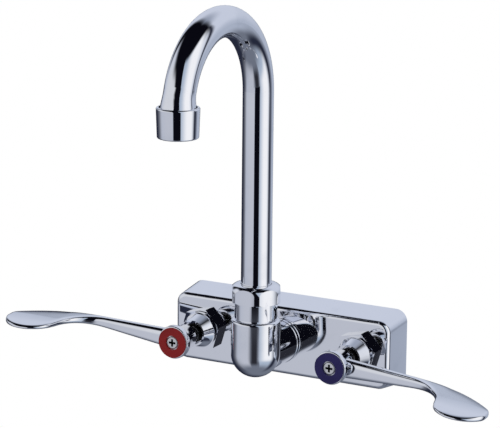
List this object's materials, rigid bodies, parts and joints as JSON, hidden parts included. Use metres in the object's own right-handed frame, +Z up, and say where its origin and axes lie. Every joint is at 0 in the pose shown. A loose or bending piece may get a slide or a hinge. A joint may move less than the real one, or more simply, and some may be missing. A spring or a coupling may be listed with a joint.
{
  "type": "commercial wall faucet",
  "caption": "Wall-mounted commercial faucet with a swivel gooseneck spout and wrist-blade handles, chrome plated, for a service sink or clinic basin.",
  "frame": {"origin": "on the wall plane, midway between the two inlets, at the height of their axes", "axes": "+Z up; +X to the right of a person who faces the wall; the spout reaches along -Y"},
  "size_m": [0.3073, 0.1681, 0.227],
  "materials": {
    "chrome": "polished plate",
    "bare_brass": "machined",
    "seal_rubber": "matt",
    "ceramic": "lapped",
    "white_plastic": "natural",
    "grey_plastic": "moulded",
    "steel_mesh": "woven",
    "clip_steel": "spring",
    "screw_steel": "plain",
    "red_index": "moulded",
    "blue_index": "moulded"
  },
  "bodies": {
    "faucet_body": {"body_casting": "chrome", "outlet_elbow": "chrome", "elbow_lock_ring": "chrome", "elbow_seal": "seal_rubber", "spout_nut": "chrome", "hot_bonnet": "chrome", "hot_cartridge": "bare_brass", "hot_seat_seal": "seal_rubber", "hot_glide_washer": "white_plastic", "hot_fixed_disc": "ceramic", "cold_bonnet": "chrome", "cold_cartridge": "bare_brass", "cold_seat_seal": "seal_rubber", "cold_glide_washer": "white_plastic", "cold_fixed_disc": "ceramic"},
    "spout": {"spout_tube": "chrome", "spout_sleeve": "bare_brass", "spout_o_rings": "seal_rubber", "spout_glide_ring": "white_plastic", "aerator_shell": "chrome", "aerator_insert": "grey_plastic", "aerator_screen": "steel_mesh", "aerator_washer": "seal_rubber"},
    "hot_lever": {"hot_handle": "chrome", "hot_index_ring": "red_index", "hot_handle_screw": "screw_steel", "hot_stem": "bare_brass", "hot_stem_clip": "clip_steel", "hot_stem_o_rings": "seal_rubber", "hot_moving_disc": "ceramic"},
    "cold_lever": {"cold_handle": "chrome", "cold_index_ring": "blue_index", "cold_handle_screw": "screw_steel", "cold_stem": "bare_brass", "cold_stem_clip": "clip_steel", "cold_stem_o_rings": "seal_rubber", "cold_moving_disc": "ceramic"}
  },
  "joints": [
    {"name": "spout_swivel", "type": "hinge", "parent": "faucet_body", "child": "spout", "pos_m": [0, -0.0519, 0.03], "axis": [0, 0, 1], "range_deg": [-110, 110]},
    {"name": "hot_turn", "type": "hinge", "parent": "faucet_body", "child": "hot_lever", "pos_m": [-0.0508, -0.05, 0], "axis": [0, -1, 0], "range_deg": [0, 90]},
    {"name": "cold_turn", "type": "hinge", "parent": "faucet_body", "child": "cold_lever", "pos_m": [0.0508, -0.05, 0], "axis": [0, 1, 0], "range_deg": [0, 90]}
  ]
}
